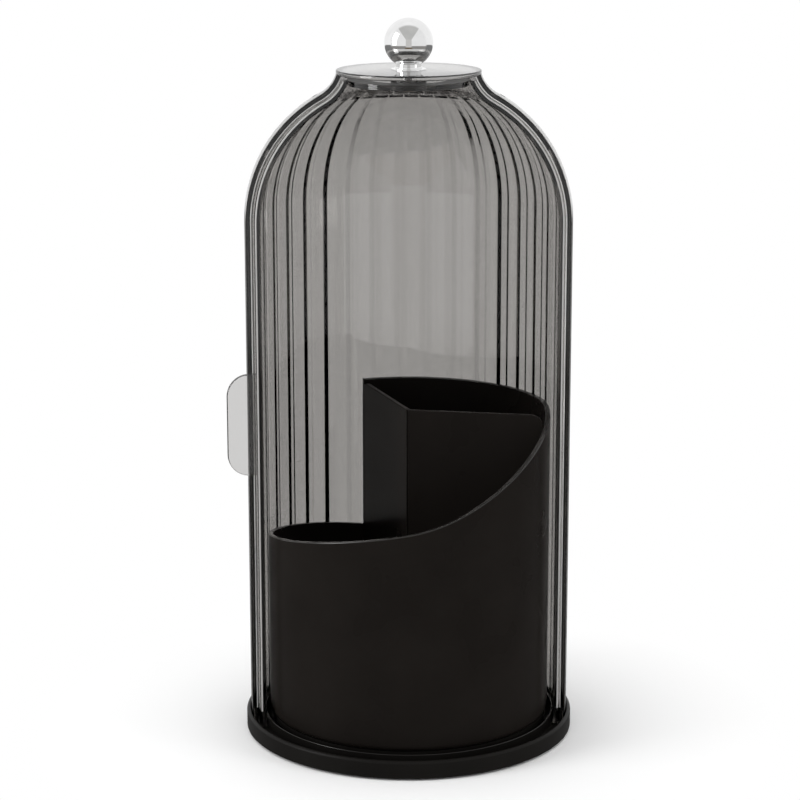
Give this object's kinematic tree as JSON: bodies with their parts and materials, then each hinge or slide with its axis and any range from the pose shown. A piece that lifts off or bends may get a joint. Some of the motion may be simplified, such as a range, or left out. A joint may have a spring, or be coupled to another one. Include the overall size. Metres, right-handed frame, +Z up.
{
  "type": "rotating bathroom organizer",
  "caption": "Domed countertop organizer with a spinning spiral-rimmed cup, a fluted smoke-clear cover, a sliding half door and a ball knob.",
  "frame": {"origin": "on the table, on the turning axis, at the middle of the anti-slip pad's underside", "axes": "+Z up along the turning axis, the open front of the dome towards -Y, the handle of the open door at -X"},
  "size_m": [0.1352, 0.13, 0.2816],
  "materials": {
    "black_satin": "satin black moulded plastic",
    "black_gloss": "gloss black moulded plastic",
    "smoke_clear": "clear smoke-grey moulded plastic, polished",
    "pale_clear": "clear pale smoke plastic, polished",
    "chrome": "mirror chrome plating",
    "steel": "plain zinc plated steel",
    "nylon": "dark nylon",
    "pad_rubber": "matt black anti-slip rubber"
  },
  "bodies": {
    "base": {"base": "black_satin", "anti_slip_pad": "pad_rubber", "turntable_pin": "steel", "pin_washer": "steel", "retaining_clip": "steel", "lower_race": "steel", "rear_shell": "smoke_clear", "top_disc": "pale_clear", "thrust_washer": "nylon", "pivot_bush": "nylon", "lock_nut": "steel", "knob_stud": "steel", "knob_collar": "chrome", "knob": "chrome"},
    "bearing": {"bearing_cage": "nylon", "bearing_balls": "steel"},
    "cup": {"upper_race": "steel", "turntable_platter": "black_satin", "cup": "black_gloss", "cup_divider": "black_gloss", "cup_screws": "steel"},
    "door": {"door_shell": "smoke_clear", "door_handle": "pale_clear"}
  },
  "joints": [
    {"name": "cup_spin", "type": "hinge", "parent": "base", "child": "cup", "pos_m": [0, 0, 0.0075], "axis": [0, 0, 1], "continuous": true},
    {"name": "bearing_roll", "type": "hinge", "parent": "base", "child": "bearing", "pos_m": [0, 0, 0.0045], "axis": [0, 0, 1], "continuous": true},
    {"name": "door_slide", "type": "hinge", "parent": "base", "child": "door", "pos_m": [0, 0, 0.2572], "axis": [0, 0, 1], "range_deg": [0, 153]}
  ],
  "couplings": [
    {"joint": "bearing_roll", "follows": "cup_spin", "ratio": 0.5}
  ]
}
